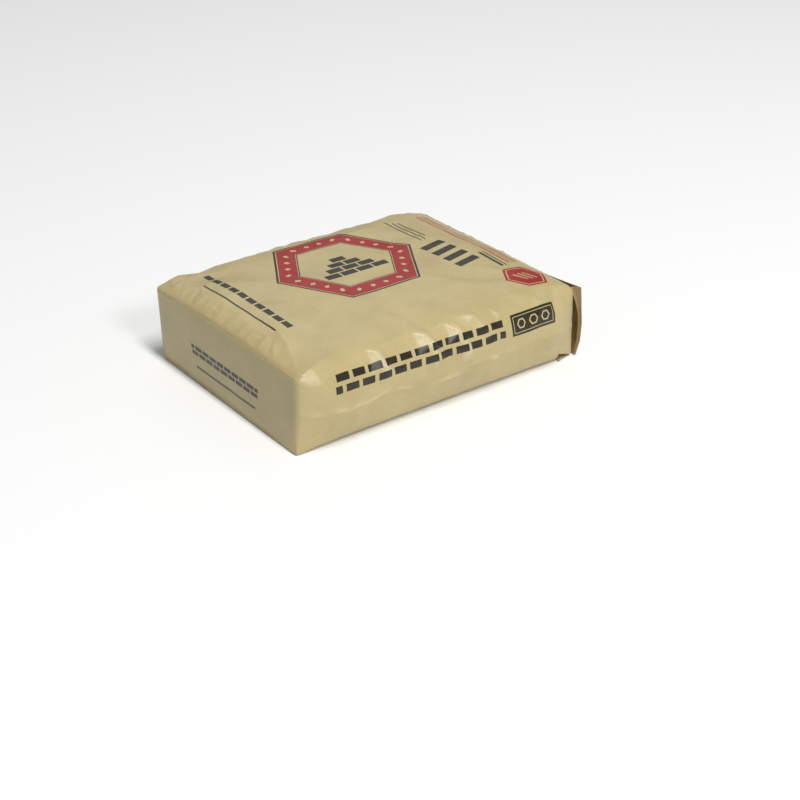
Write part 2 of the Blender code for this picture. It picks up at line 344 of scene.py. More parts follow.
# Folds that the photograph shows on the near side, in mm on the paper. Each is a crest, or a valley where the
# height is minus, as points (x along the sack, girth from the top's middle, height).
SHOULDER_FOLDS = [
    [(-142, -192, 0), (-141, -206, -2.4), (-146, -234, -2.4), (-154, -260, 0)],
    [(-134, -184, 0), (-126, -204, 3.4), (-120, -228, 4.4), (-124, -264, 0)],
    [(-118, -192, 0), (-110, -214, -1.0), (-104, -242, -0.4)],
    [(-55, -188, 0), (-54, -206, -2.6), (-58, -232, -2.8), (-66, -262, 0)],
    [
        (-74, -100, 0), (-60, -140, 1.3), (-51, -176, 1.0), (-36, -202, 3.4), (-29, -216, 4.4),
        (-26, -242, 4.0), (-38, -268, 0),
    ],
    [(-48, -108, 0), (-37, -150, -1.3), (-25, -196, -2.0), (-17, -222, -1.6), (-14, -246, -0.8)],
    [(5, -188, 0), (3, -207, -3.0), (-6, -236, -3.2), (-34, -268, 0)],
    [(6, -180, 0), (24, -210, 4.0), (32, -242, 4.8), (14, -273, 0.5)],
    [(24, -182, 0), (36, -214, -1.0), (46, -248, -0.6)],
    [(40, -186, 0), (44, -205, -1.8), (51, -226, -1.6), (56, -248, 0)],
    [(44, -172, 0), (58, -196, 2.8), (67, -218, 3.6), (74, -248, 0)],
    [(58, -178, 0), (70, -198, -0.8), (82, -222, -0.4)],
    [(91, -186, 0), (92, -206, -1.0), (94, -236, 0)],
    [(94, -172, 0), (105, -206, 1.6), (110, -240, 0)],
    [(140, -176, 0), (150, -212, -1.6), (152, -248, 0)],
    [(172, -190, 0), (173, -212, -0.8), (172, -236, 0)],
    [(190, -176, 0), (187, -210, 2.0), (180, -244, 0)],
    [(232, -150, 0), (224, -186, -2.0), (212, -238, 0)],
    [(258, -190, 0), (248, -212, 2.2), (243, -252, 0)],
    [(-254, -194, 0), (-249, -214, 0.2), (-240, -240, 0)],
    [(-238, -190, 0.2), (-233, -203, 0.8), (-232, -222, 1.0), (-234, -246, 0)],
    [(-226, -200, 0), (-222, -216, -1.2), (-224, -240, 0)],
    [(-234, -64, 0), (-242, -100, -0.8), (-256, -136, 0)],
    [(-219, -44, 0), (-216, -72, 1.6), (-225, -108, 2.0), (-237, -140, 2.0), (-258, -186, 0)],
    [(-208, -70, 0), (-214, -112, -0.8), (-229, -150, 0)],
]
# Shorter folds below the crease: a crest's three points with its height in the middle, and its flanks' reach.
HEEL_FOLDS = [
    (-214, -277, -221, -301, -224, -322, -2.4, 14), (-176, -277, -168, -300, -162, -322, 1.4, 16),
    (-118, -278, -106, -300, -100, -322, -1.6, 16), (-52, -284, -38, -304, -26, -322, 1.8, 14),
    (18, -284, 24, -304, 34, -322, -1.8, 15), (70, -278, 84, -300, 90, -322, 1.8, 16),
    (130, -278, 142, -300, 150, -322, -1.6, 17), (196, -276, 206, -298, 214, -320, 1.4, 17),
]
# The left end's pleats on the top, from the fold inwards: y at the fold, how far they run along and across,
# their height, and how far their flanks reach.
LEFT_END_PLEATS = [
    (150, 34, 22, 1.0, 7), (124, 22, 14, 0.9, 5), (94, 38, 28, -1.3, 6), (80, 26, 17, 1.0, 5),
    (60, 28, 17, 1.3, 5), (38, 34, 18, -1.2, 5), (20, 26, 16, 1.2, 5), (2, 30, 14, -0.8, 4),
    (-14, 32, 15, 0.8, 5), (-29, 24, 11, -0.9, 4), (-43, 28, 16, 1.2, 5), (-64, 24, 14, 1.1, 4),
    (-82, 32, 18, -1.3, 5), (-95, 24, 12, 1.3, 4), (-112, 28, 9, -0.9, 4), (-126, 24, 6, 1.2, 5),
]
# The factory crease half way up the near side, and how proud it stands at each point. It is sharp below.
NEAR_SEAM = [
    (-262, -254, 0.4), (-254, -261, 1.0), (-241, -265, 1.6), (-228, -269, 1.4), (-219, -270, 0.6),
    (-204, -271, 2.2), (-196, -272, 1.8), (-184, -276, 1.4), (-175, -272, 2.0), (-152, -273, 2.2),
    (-138, -270, 2.2), (-125, -266, 2.0), (-110, -268, 0.8), (-98, -268, 2.0), (-80, -273, 1.8),
    (-65, -275, 0.8), (-43, -279, 0.8), (-29, -281, 1.2), (-12, -279, 2.4), (2, -279, 2.4),
    (20, -277, 1.2), (36, -277, 1.4), (41, -269, 2.0), (53, -270, 1.4), (73, -271, 1.2), (87, -273, 2.8),
    (94, -273, 1.0), (123, -271, 1.2), (154, -270, 1.2), (190, -267, 0.8), (230, -265, 1.4), (262, -260, 0.6),
]
SEAM_ABOVE, SEAM_BELOW, SEAM_STEP, TOP_CREASES = 9, 4, 19, 46
# Where the pleats start beside the end folds, and how far the flanks of the chance ones reach.
PLEAT_START, PLEAT_FOLD, PLEAT_REACH = 263, 264, 6


def with_feet(crest, across, reach):
    """A fold's crest, and the lines where its two flanks end."""
    left, right = (
        [(u + side * reach * across[0], v + side * reach * across[1], 0) for u, v, _ in crest[1:-1]]
        for side in (-1, 1)
    )
    return [crest, left, right]


def heel_folds():
    folds = []
    for u0, v0, u1, v1, u2, v2, height, reach in HEEL_FOLDS:
        folds += with_feet([(u0, v0, 0), (u1, v1, height), (u2, v2, 0)], (1, 0), reach)
    return folds


def far_folds():
    """Folds like the near side's, placed by chance on the far side, which the photograph doesn't show."""
    chance = random.Random(23)
    folds = []
    x = -232
    while x < 235:
        slant = chance.uniform(-12, 12)
        height = chance.choice((-1, 1)) * chance.uniform(0.8, 1.9)
        top, low = chance.uniform(160, 180), chance.uniform(236, 262)
        crest = [(x, top, 0), (x + slant * 0.6, top + 30, height), (x + slant, low, 0)]
        folds += with_feet(crest, (1, 0), chance.uniform(11, 15))
        slant = chance.uniform(-10, 10)
        lower = [(x + 4, 279, 0), (x + 4 + slant / 2, 300, -0.6 * height), (x + 4 + slant, 321, 0)]
        folds += with_feet(lower, (1, 0), 13)
        x += chance.uniform(36, 50)
    return folds


def seam_rise(seam, u, v):
    """A folded edge that stands proud along the seam, sharp on its lower side."""
    rise = np.zeros(len(u))
    for (u0, v0, h0), (u1, v1, h1) in zip(seam[:-1], seam[1:]):
        near = np.nonzero((u >= u0) & (u < u1))[0]
        share = (u[near] - u0) / (u1 - u0)
        off = np.abs(v[near]) - np.abs(v0 + (v1 - v0) * share)
        reach = np.where(off < 0, SEAM_ABOVE, SEAM_BELOW)
        rise[near] = np.clip(1 - np.abs(off) / reach, 0, 1) * (h0 + (h1 - h0) * share) * (v[near] * v0 > 0)
    return rise


def end_pleats():
    """The left end's pleats as folds, and others of their kind, placed by chance, at the right end."""
    folds = []
    for y, along, across, height, reach in LEFT_END_PLEATS:
        top = (-PLEAT_FOLD + 0.4 * along, y + 0.4 * across, height)
        crest = [(-PLEAT_START, y, 0.3 * height), top, (-PLEAT_FOLD + along, y + across, 0)]
        folds += with_feet(crest, (0, 1), reach)
    chance = random.Random(41)
    y = -150
    while y < 168:
        along, across = chance.uniform(12, 32), chance.uniform(-16, 6)
        height = chance.choice((-1, 1)) * chance.uniform(0.8, 1.8)
        top = (PLEAT_FOLD - 0.4 * along, y + 0.4 * across, height)
        crest = [(PLEAT_START, y, 0.2 * height), top, (PLEAT_FOLD - along, y + across, 0)]
        folds += with_feet(crest, (0, 1), PLEAT_REACH)
        y += chance.uniform(16, 34)
    return folds


def creases(u, v):
    """The seams half way up both sides, and faint creases all over the top."""
    chance = random.Random(11)
    rise = np.zeros(len(u))
    for _ in range(TOP_CREASES):
        x, y = chance.uniform(-230, 230), chance.uniform(-120, 180)
        turn, half = chance.uniform(0, math.pi), chance.uniform(14, 46)
        du, dv = half * math.cos(turn), half * math.sin(turn)
        bend = (x + chance.uniform(-6, 6), y + chance.uniform(-6, 6))
        path = [(x - du, y - dv), bend, (x + du, y + dv)]
        width, height = chance.uniform(7, 15), chance.choice((-1, 1)) * chance.uniform(0.2, 0.6)
        rise += crease(path, width, height, u, v)
    spots = range(-262, 263, SEAM_STEP)
    far_seam = [(x, 271 + chance.uniform(-5, 5), chance.uniform(0.6, 2.2)) for x in spots]
    return rise + seam_rise(far_seam, u, v) + seam_rise(NEAR_SEAM, u, v)


def facet_net(folds):
    """Control points of the flat facets that stiff paper breaks into, and the fold lines that bound them.

    Each point is x and girth in mm, its height in mm, and how strongly the paper goes flat there.
    """
    chance = random.Random(5)
    room_beside, room_past = FOLD_ROOM
    points, edges, spans = [], [], []
    for fold in folds:
        for i, (u, v, height) in enumerate(fold):
            if i:
                edges.append((len(points) - 1, len(points)))
            points.append((u, v, height, FOLD_FLATNESS))
        us, vs, _ = zip(*fold)
        spans.append((min(us) - room_beside, max(us) + room_beside, min(vs) - room_past, max(vs) + room_past))
    taken = [point[:2] for point in points]
    for _ in range(CHANCE_POINTS):
        u, v = chance.uniform(-258, 258), chance.uniform(-500, 500)
        in_span = any(left < u < right and low < v < high for left, right, low, high in spans)
        if in_span or HEEL_ROOM[0] < abs(v) < HEEL_ROOM[1]:
            continue
        shoulder = SHOULDER_BAND[0] < abs(v) < SHOULDER_BAND[1]
        if min(math.hypot(u - a, v - b) for a, b in taken) > (SHOULDER_FACET if shoulder else PLAIN_FACET):
            taken.append((u, v))
            rough = 0.4 if shoulder else 0.8
            points.append((u, v, chance.uniform(-rough, rough), PLAIN_FLATNESS))
    for side in (-1, 1):
        for step in HEEL_ROWS:
            for u in range(-250, 251, 25):
                heel = HEEL_GIRTH - HEEL_TUCK * (u / HALF_SHEET) ** 4 + step
                points.append((u, side * heel, 0.0, 0.0))
    border = [(u, v) for v in (-HALF_GIRTH, HALF_GIRTH) for u in range(-HALF_SHEET, HALF_SHEET + 1, 53)]
    border += [(u, v) for u in (-HALF_SHEET, HALF_SHEET) for v in range(-500, 501, 50)]
    points += [(u, v, 0.0, 0.0) for u, v in border]
    return points, edges


def break_into_facets(place, outward, u, v, folds):
    """Folds the paper along the net's lines, and moves it towards flat facets between them.

    Stiff paper bends so. The result is the moved points, and how far the folds raised each.
    """
    points, edges = facet_net(folds)
    flat_points = [Vector(point[:2]) for point in points]
    corners, _, faces, origins, _, _ = geometry.delaunay_2d_cdt(flat_points, edges, [], 0, 0.01)
    where = np.stack([u, v], axis=1)
    spots = []
    for corner, origin in zip(corners, origins):
        _, girth_here, height, flat = points[origin[0]] if origin else (0, 0, 0.0, 0.0)
        near = int(np.argmin((u - corner.x) ** 2 + (v - corner.y) ** 2))
        curved = math.exp(-((abs(girth_here) - CURVE_GIRTH) / CURVE_REACH) ** 2)
        spots.append((place[near] + outward[near] * FACET_LIFT * curved, flat, height * MM))
    moved = place.copy()
    risen = np.zeros(len(place))
    for face in faces:
        a, b, c = (np.array(corners[i]) for i in face)
        low, high = np.minimum(np.minimum(a, b), c), np.maximum(np.maximum(a, b), c)
        near = np.nonzero(np.all((where >= low) & (where <= high), axis=1))[0]
        if not len(near):
            continue
        area = (b[0] - a[0]) * (c[1] - a[1]) - (c[0] - a[0]) * (b[1] - a[1])
        p = where[near] - a
        share_b = (p[:, 0] * (c[1] - a[1]) - p[:, 1] * (c[0] - a[0])) / area
        share_c = (p[:, 1] * (b[0] - a[0]) - p[:, 0] * (b[1] - a[1])) / area
        shares = np.stack([1 - share_b - share_c, share_b, share_c], axis=1)
        inside = np.all(shares > -1e-6, axis=1)
        near, shares = near[inside], shares[inside]
        chord = shares @ np.array([spots[i][0] for i in face])
        pull = shares @ np.array([spots[i][1] for i in face])
        risen[near] = shares @ np.array([spots[i][2] for i in face])
        moved[near] = place[near] + (chord - place[near]) * pull[:, None] + outward[near] * risen[near, None]
    return moved, risen


def pressed_by_cloth(sack, unit, base):
    """Lets the paper, cut with some to spare, buckle under the cement's pressure. The movement is capped."""
    mesh = sack.data
    setback = LENGTH / 2 - np.abs(base[:, 0])
    band = np.clip(1 - setback / END_BAND, 0, 1) ** 0.7
    shoulder = np.exp(-((np.abs(base[:, 1]) - WIDTH / 2) / 0.05) ** 2)
    shoulder *= np.clip((base[:, 2] - 0.02) / 0.03, 0, 1)
    cut = base.copy()
    cut[:, 0] *= PAPER_CUT + SHOULDER_SPARE * shoulder
    cut[:, 1] *= PAPER_CUT + END_SPARE * band
    sack.shape_key_add(name="Basis")
    key = sack.shape_key_add(name="cut")
    key.data.foreach_set("co", cut.ravel())
    held = sack.vertex_groups.new(name="held")
    on_end = np.nonzero(np.abs(unit[:, 0]) > ON_FACE)[0]
    held.add([int(i) for i in on_end], 1.0, "REPLACE")
    cloth = sack.modifiers.new("paper", "CLOTH")
    paper = cloth.settings
    paper.quality = 5
    paper.mass = 0.3
    paper.tension_stiffness = paper.compression_stiffness = 60
    paper.shear_stiffness = 30
    paper.bending_stiffness = 2
    paper.tension_damping = paper.compression_damping = paper.shear_damping = 10
    paper.bending_damping = 1
    paper.air_damping = 2
    paper.use_pressure = True
    paper.uniform_pressure_force = 3
    paper.rest_shape_key = key
    paper.vertex_group_mass = "held"
    paper.effector_weights.gravity = 0
    cloth.collision_settings.use_collision = False
    cloth.point_cache.frame_start, cloth.point_cache.frame_end = 1, CLOTH_FRAMES
    for number in range(1, CLOTH_FRAMES + 1):
        bpy.context.scene.frame_set(number)
    shown = sack.evaluated_get(bpy.context.evaluated_depsgraph_get())
    pressed = coords(shown.to_mesh())
    shown.to_mesh_clear()
    sack.modifiers.remove(cloth)
    sack.shape_key_clear()
    bpy.context.scene.frame_set(1)
    move = pressed - base
    move -= smoothed(mesh, move, SMOOTHING_ROUNDS)
    length = np.linalg.norm(move, axis=1)
    move *= np.minimum(CLOTH_SHARE * (1 - 0.6 * band), CLOTH_CAP / np.maximum(length, 1e-9))[:, None]
    return base + move


def smoothed(mesh, values, rounds):
    """The values averaged over each point's neighbours, again and again: their slow changes over the sack."""
    edges = np.empty(len(mesh.edges) * 2, int)
    mesh.edges.foreach_get("vertices", edges)
    one, other = edges.reshape(-1, 2).T
    count = len(values)
    degree = np.bincount(one, minlength=count) + np.bincount(other, minlength=count)
    for _ in range(rounds):
        total = [
            np.bincount(one, values[other, k], count) + np.bincount(other, values[one, k], count)
            for k in range(3)
        ]
        values = (values + np.stack(total, axis=1) / degree[:, None]) / 2
    return values


def lifted_heel(place):
    """Low at the valve end's near corner the paper stands off the floor, over the loose fold."""
    x, y, z = place.T
    low = np.clip(1 - z / HEEL_LIFT_TOP, 0, 1) * np.clip((-y - HEEL_LIFT_SIDE) / HEEL_LIFT_FADE, 0, 1)
    past = x - HEEL_LIFT_START
    rising = np.clip(past / HEEL_LIFT_RISE, 0, 1)
    falling = np.clip(1 - (past - HEEL_LIFT_RISE) / HEEL_LIFT_FALL, HEEL_LIFT_LEFT, 1)
    along = np.where(past < HEEL_LIFT_RISE, rising, falling)
    return np.stack([x, y, z + HEEL_LIFT * low * along], axis=1)


def sheet_map(mesh, unit, around):
    """The UV map of the paper as it was before folding, in metres: x, and the girth round the sack.

    The end walls fold out from the top's two short edges.
    """
    corners = np.empty(len(mesh.loops), int)
    mesh.loops.foreach_get("vertex_index", corners)
    face_middle = np.repeat(unit[corners].reshape(-1, 4, 3).mean(axis=1), 4, axis=0)
    place, around = coords(mesh)[corners], around[corners]
    on_end = np.abs(face_middle[:, 0]) > ON_FACE
    fold_out = np.sign(face_middle[:, 0]) * (LENGTH / 2 + HEIGHT - place[:, 2])
    u = np.where(on_end, fold_out, place[:, 0])
    v = np.where(on_end, place[:, 1], np.abs(around) * np.where(face_middle[:, 1] < 0, -1, 1))
    top_middle = ~on_end & (face_middle[:, 2] > ON_FACE) & (np.abs(unit[corners, 1]) < 1e-6)
    flat = np.stack([u, np.where(top_middle, 0, v)], axis=1).astype(np.float32)
    mesh.uv_layers.new(name="sheet").uv.foreach_set("vector", flat.ravel())


def make_sack(kraft):
    """The filled paper sack, with each point's place on the unit cube that it was made from."""
    sack = put("kraft_sack", cube_grid(CELLS), kraft)
    mesh = sack.data
    unit = coords(mesh)
    base = swollen(unit)
    around = girth(unit, base)
    seeds = SEED_SHARE * creases(base[:, 0] / MM, around / MM) * MM
    move_points(mesh, base)
    outward = coords(mesh, "normal")
    ruffle = np.array([noise.noise(Vector(p) / RUFFLE_SIZE) for p in base]) * RUFFLE_HEIGHT
    start = base + outward * (seeds + ruffle)[:, None]
    move_points(mesh, start)
    move_points(mesh, pressed_by_cloth(sack, unit, base))
    keep = mesh.attributes.new("unit", "FLOAT_VECTOR", "POINT")
    keep.data.foreach_set("vector", unit.astype(np.float32).ravel())
    finer = sack.modifiers.new("finer", "SUBSURF")
    finer.levels = finer.render_levels = 1
    shown = sack.evaluated_get(bpy.context.evaluated_depsgraph_get())
    fine = bpy.data.meshes.new_from_object(shown)
    sack.modifiers.remove(finer)
    sack.data = fine
    bpy.data.meshes.remove(mesh)
    fine.name = "kraft_sack"
    unit = np.empty(len(fine.vertices) * 3, np.float32)
    fine.attributes["unit"].data.foreach_get("vector", unit)
    unit = unit.reshape(-1, 3).astype(float)
    place = coords(fine)
    around = girth(unit, swollen(unit))
    on_end = np.abs(unit[:, 0]) > ON_FACE
    rise = np.where(on_end, 0, creases(place[:, 0] / MM, around / MM))
    outward = coords(fine, "normal")
    tube = ~on_end
    folds = SHOULDER_FOLDS + heel_folds() + far_folds() + end_pleats()
    along, girth_mm = place[tube, 0] / MM, around[tube] / MM
    place[tube], folded = break_into_facets(place[tube], outward[tube], along, girth_mm, folds)
    place = place + outward * (rise * CREASE_SHARE * MM)[:, None]
    # The fold heights also set the paler paint on the crests: a painted highlight, with rubbed wear.
    rise[tube] += folded / MM * FOLD_WEAR_AND_HIGHLIGHT
    true = swollen(unit)
    wall = LENGTH / 2 + END_SLACK
    place[:, 0] = np.where(on_end, true[:, 0], np.clip(place[:, 0], -wall, wall))
    place = settled(lifted_heel(place))
    place[:, 2] = np.maximum(place[:, 2], FLOOR_GAP)
    move_points(fine, place)
    crest_wear_and_highlight = fine.attributes.new("crest_wear_and_highlight", "FLOAT", "POINT")
    crest_wear_and_highlight.data.foreach_set("value", np.clip(rise / FULL_WEAR_AND_HIGHLIGHT, -1, 1).astype(np.float32))
    sheet_map(fine, unit, around)
    fine.attributes.remove(fine.attributes["unit"])
    return sack, unit


# The smaller pieces.

COVER_MARGIN, COVER_THICKNESS, COVER_RIPPLE, COVER_PUFF = 0.0046, 0.0002, 0.0006, 0.0010
# How far off the end walls the closed end's cover, the valve end's cover and the sleeve lie.
CLOSED_COVER_GAP, VALVE_COVER_GAP, SLEEVE_GAP, LEAST_GAP = 0.0002, 0.0003, 0.0005, 0.0003
# Waves in the covers: their length along and up, and a number that picks the pattern.
CLOSED_WAVES, FLAP_WAVES, GLUE_WAVES = (0.035, 0.03, 3.1), (0.03, 0.028, 7.7), (0.05, 0.04, 2.4)
GLUE_PUFF, FLAP_EDGE_BOW = 0.0007, 0.002
FLAP_BEND, FLAP_NEAR, FLAP_TOP_GLUED, FLAP_BOW = -0.050, -0.1985, 3.0, 0.0012
# How far the valve flap's near edge stands off the end wall, at shares of the height from the bottom up.
FLAP_HEIGHTS = (0.0, 0.06, 0.2, 0.45, 0.7, 1.0)
FLAP_STANDS = (0.003, 0.006, 0.0115, 0.0140, 0.0130, 0.0125)
LIP_DEPTH, LIP_COLUMNS = 0.011, 16
FOLD_STEP, FOLD_EDGE, FLAP_LAP = 0.00055, 0.0028, 0.019
SLEEVE_NEAR, SLEEVE_FAR, SLEEVE_HEIGHT, SLEEVE_ROOM = -0.186, -0.092, 0.098, 0.0010
WINDOW_Y, WINDOW_Z = (-0.088, -0.058), (0.026, 0.096)
SEAM_WIDTH, SEAM_SETBACK, SEAM_WANDER, SEAM_HEIGHT, SEAM_GIRTH = 0.036, 0.012, 0.0008, 0.00025, 0.52
TONGUE_START, TONGUE_END, TONGUE_SIDE, TONGUE_REACH = 0.233, 0.261, -0.1870, 0.013
TONGUE_CURL, TONGUE_RISE, TONGUE_GIRTH = 0.0046, 0.0012, -0.33
SLEEVE_THICKNESS, SEAM_THICKNESS, TONGUE_THICKNESS, LOAD_INSET = 0.0002, 0.0002, 0.0005, 0.0040


def thicken(piece, thickness):
    """The piece with its sheet's thickness, on the side its faces point to."""
    wall = piece.modifiers.new("thickness", "SOLIDIFY")
    wall.thickness = thickness
    wall.offset = 1.0
    return piece


def turn_faces(bm, way):
    """Makes an open sheet's faces point along way."""
    bmesh.ops.recalc_face_normals(bm, faces=bm.faces)
    if sum(face.normal.dot(Vector(way)) * face.calc_area() for face in bm.faces) < 0:
        bmesh.ops.reverse_faces(bm, faces=bm.faces)


def map_sheet(bm, spot):
    """The UV map of a sheet of paper. Spot gives a point's place in it, in metres."""
    layer = bm.loops.layers.uv.new("sheet")
    for face in bm.faces:
        for loop in face.loops:
            loop[layer].uv = spot(loop.vert.co)


def grid_sheet(columns, rows):
    """A flat sheet, 1 by 1, about the middle."""
    bm = bmesh.new()
    bmesh.ops.create_grid(bm, x_segments=columns, y_segments=rows, size=0.5)
    return bm


def waves(y, z, pattern):
    along, up, pick = pattern
    return noise.noise(Vector((y / along, z / up, pick)))


def end_cover(name, bm, side, kraft):
    """An end wall's cover. Its part of the paper folds out from the top's short edge."""
    turn_faces(bm, (side, 0, 0))
    map_sheet(bm, lambda at: (side * (LENGTH / 2 + HEIGHT - at.z), at.y))
    settle(bm)
    return thicken(put(name, bm, kraft), COVER_THICKNESS)


def make_closed_end_cover(kraft):
    """The cover sheet glued over the closed end's folds. It ripples a little."""
    bm = grid_sheet(72, 26)
    for vert in bm.verts:
        across, up = vert.co.x, vert.co.y + 0.5
        y = across * (WIDTH - 2 * COVER_MARGIN)
        top = HEIGHT + CLOSED_END_CROWN * (1 - abs(y / (WIDTH / 2)) ** CROWN_POWER) - COVER_MARGIN
        z = mix(COVER_MARGIN, top, up)
        inner = (1 - (2 * across) ** 4) * (1 - (2 * up - 1) ** 4)
        ripple = COVER_RIPPLE * (waves(y, z, CLOSED_WAVES) + 0.6)
        vert.co = (-(LENGTH / 2 + CLOSED_COVER_GAP + inner * (ripple + COVER_PUFF)), y, z)
    return end_cover("closed_end_cover", bm, -1, kraft)


def flap_open(y, up):
    """The share of its near edge's stand that the flap has at y. Higher up it stays glued further along."""
    share = min(max((FLAP_BEND - y) / (FLAP_BEND - FLAP_NEAR), 0), 1)
    return share ** mix(1.0, FLAP_TOP_GLUED, up ** 2)


def folded_below(y, z):
    """The step over the folded bottom: a three-cornered fold at each side, and the flaps' lap."""
    level = HEIGHT / 2 - abs(z - HEIGHT / 2)
    corner = min(max((level - (WIDTH / 2 - abs(y))) / FOLD_EDGE, 0), 1)
    lap = min(max((FLAP_LAP - abs(z - HEIGHT / 2)) / FOLD_EDGE, 0), 1)
    return FOLD_STEP * (max(corner, lap) + 0.5 * min(corner, lap))


def make_valve_end_cover(kraft):
    """The valve end's outer flaps: glued flat, but standing open at the near corner.

    At the top of the opening the paper turns in to the wall, and lower down only a narrow lip is left of it.
    """
    columns, rows = 180, 72
    bm = grid_sheet(columns, rows)
    wall, far, flat = LENGTH / 2 + VALVE_COVER_GAP, WIDTH / 2 - COVER_MARGIN, columns - LIP_COLUMNS
    for vert in bm.verts:
        column, up = round((vert.co.x + 0.5) * columns), vert.co.y + 0.5
        z = mix(COVER_MARGIN * 0.5, HEIGHT - COVER_MARGIN * 0.5, up)
        stand = np.interp(up, FLAP_HEIGHTS, FLAP_STANDS)
        near = FLAP_NEAR - FLAP_EDGE_BOW * math.sin(math.pi * up)
        if column <= flat:
            y = mix(far, near, column / flat)
            opened = flap_open(y, up)
            ripple = COVER_RIPPLE * opened * waves(y, z, FLAP_WAVES)
            glued = GLUE_PUFF * (1 - opened) * max(0.0, waves(y, z, GLUE_WAVES) + 0.2)
            bow = FLAP_BOW * math.sin(math.pi * opened)
            folds = (1 - opened) * folded_below(y, z)
            vert.co = (wall + max(stand * opened + bow + ripple, 0.0) + glued + folds, y, z)
        else:
            turned = (column - flat) / LIP_COLUMNS
            reach = min(1.0, 0.22 + 0.9 * max(0.0, (up - 0.55) / 0.45) ** 1.6)
            depth = LIP_DEPTH * math.sin(0.5 * math.pi * turned)
            x = wall + stand * (1 - 0.96 * reach * turned)
            vert.co = (x, near + depth * (0.35 + 0.65 * reach), z)
    return end_cover("valve_end_cover", bm, 1, kraft)


def make_valve_sleeve(paper):
    """The valve's flat paper tube, open at both ends, in the gap between the end wall and the outer flaps."""
    bm = grid_sheet(24, 48)
    wall = LENGTH / 2 + SLEEVE_GAP
    for vert in bm.verts:
        inward, turn = vert.co.x + 0.5, 2 * math.pi * (vert.co.y + 0.5)
        y = mix(SLEEVE_NEAR, SLEEVE_FAR, inward)
        across = math.copysign(abs(math.cos(turn)) ** 0.35, math.cos(turn))
        z = HEIGHT / 2 + SLEEVE_HEIGHT / 2 * math.copysign(abs(math.sin(turn)) ** 0.8, math.sin(turn))
        stand = np.interp(z / HEIGHT, FLAP_HEIGHTS, FLAP_STANDS)
        gap = max(stand * flap_open(y, z / HEIGHT) - SLEEVE_ROOM, LEAST_GAP)
        vert.co = (wall + gap * (0.5 + 0.5 * across), y, z)
    bmesh.ops.remove_doubles(bm, verts=bm.verts, dist=0.00001)
    bmesh.ops.recalc_face_normals(bm, faces=bm.faces)
    settle(bm)
    return thicken(put("paper_sleeve", bm, paper), -SLEEVE_THICKNESS)


def make_glued_seam(kraft):
    """The tube's lengthwise seam, a lap on the underside."""
    bm = grid_sheet(120, 6)
    for vert in bm.verts:
        x = vert.co.x * (LENGTH - SEAM_SETBACK)
        y = vert.co.y * SEAM_WIDTH + SEAM_WANDER * noise.noise(Vector((x / 0.05, 0, 1.3)))
        vert.co = (x, y, SEAM_HEIGHT)
    map_sheet(bm, lambda at: (at.x, SEAM_GIRTH + at.y))
    turn_faces(bm, (0, 0, -1))
    return thicken(put("glued_seam", bm, kraft, smooth=False), SEAM_THICKNESS)


def make_loose_fold(kraft):
    """A tongue of the valve end's folded bottom that sticks out under the near side, low down."""
    bm = grid_sheet(24, 10)
    for vert in bm.verts:
        along, out = vert.co.x + 0.5, vert.co.y + 0.5
        curl = math.sin(math.pi * min(along * 1.6, 1)) if along < 0.625 else 0.0
        height = FLOOR_GAP + (TONGUE_CURL * curl + TONGUE_RISE) * out * (1 - along) ** 0.5
        reach = TONGUE_REACH * (1 - 0.75 * along)
        vert.co = (mix(TONGUE_START, TONGUE_END, along), TONGUE_SIDE - reach * out, height)
    map_sheet(bm, lambda at: (at.x, TONGUE_GIRTH + at.z))
    turn_faces(bm, (0, 0, 1))
    return thicken(put("loose_fold", bm, kraft), TONGUE_THICKNESS)


def make_cement_load(sack, unit, cement):
    """The cement, pressed against the inside of the paper."""
    cells = tuple(count // 2 for count in CELLS)
    steps = np.array(CELLS) * 2
    where = {tuple(key): i for i, key in enumerate(np.round((unit + 0.5) * steps).astype(int))}
    place, outward = coords(sack.data), coords(sack.data, "normal")
    bm = cube_grid(cells)
    for vert in bm.verts:
        i = where[tuple(round((vert.co[k] + 0.5) * steps[k]) for k in range(3))]
        vert.co = Vector(place[i] - outward[i] * LOAD_INSET)
    return put("cement_load", bm, cement)


def cut_valve_window(sack):
    """Opens the end wall where the sleeve leads in."""
    bm = bmesh.new()
    bm.from_mesh(sack.data)
    gone = []
    for face in bm.faces:
        at = face.calc_center_median()
        in_window = WINDOW_Y[0] < at.y < WINDOW_Y[1] and WINDOW_Z[0] < at.z < WINDOW_Z[1]
        if in_window and at.x > LENGTH / 2 - 0.0005:
            gone.append(face)
    bmesh.ops.delete(bm, geom=gone, context="FACES")
    bm.to_mesh(sack.data)
    bm.free()


# Finishes.

CHARCOAL_INK, RED_INK = "241e10", "9a0a10"
# The second tint is a paler tan laid on fold crests and end folds: painted highlight, with rubbed wear.
FLECK_TINT, WEAR_AND_HIGHLIGHT_TINT = "7a6440", "ddd2b0"
# Brick length, course height and half the joint, in metres.
BAND_BRICKS = (0.02845, 0.0180, 0.0032)
LINE_BRICKS = (0.0246, 0.0150, 0.0022)
WALL_BRICKS = (0.030, 0.0180, 0.0016)
END_BRICKS = (0.0210, 0.0090, 0.0012)

# The print, in mm on the sheet: centre, half size, and for some the turn in degrees and bricks to lay it in.
CHARCOAL_BARS = [
    ((-52, -230), (156.5, 17.9), -0.3, BAND_BRICKS), ((-198, 36), (7.4, 123), 0, LINE_BRICKS),
    ((-222, 21), (1.6, 102)), *[((154 + 2 * i, 30 - 27 * i), (25, 7.5), 14) for i in range(4)],
    ((151, 108), (1.3, 52)), ((160, 104), (1.3, 46)), ((169, 108), (1.3, 38)),
    ((197, -66), (2.6, 30)), ((205, -66), (1.3, 30)),
]
RED_BARS = [((216, 34), (1.5, 122)), ((223, 34), (0.8, 122)), ((230, 34), (1.5, 122))]
END_BARS = [((-329, -2), (8.9, 94.5), 0, END_BRICKS), ((-356, -3), (1.8, 84))]
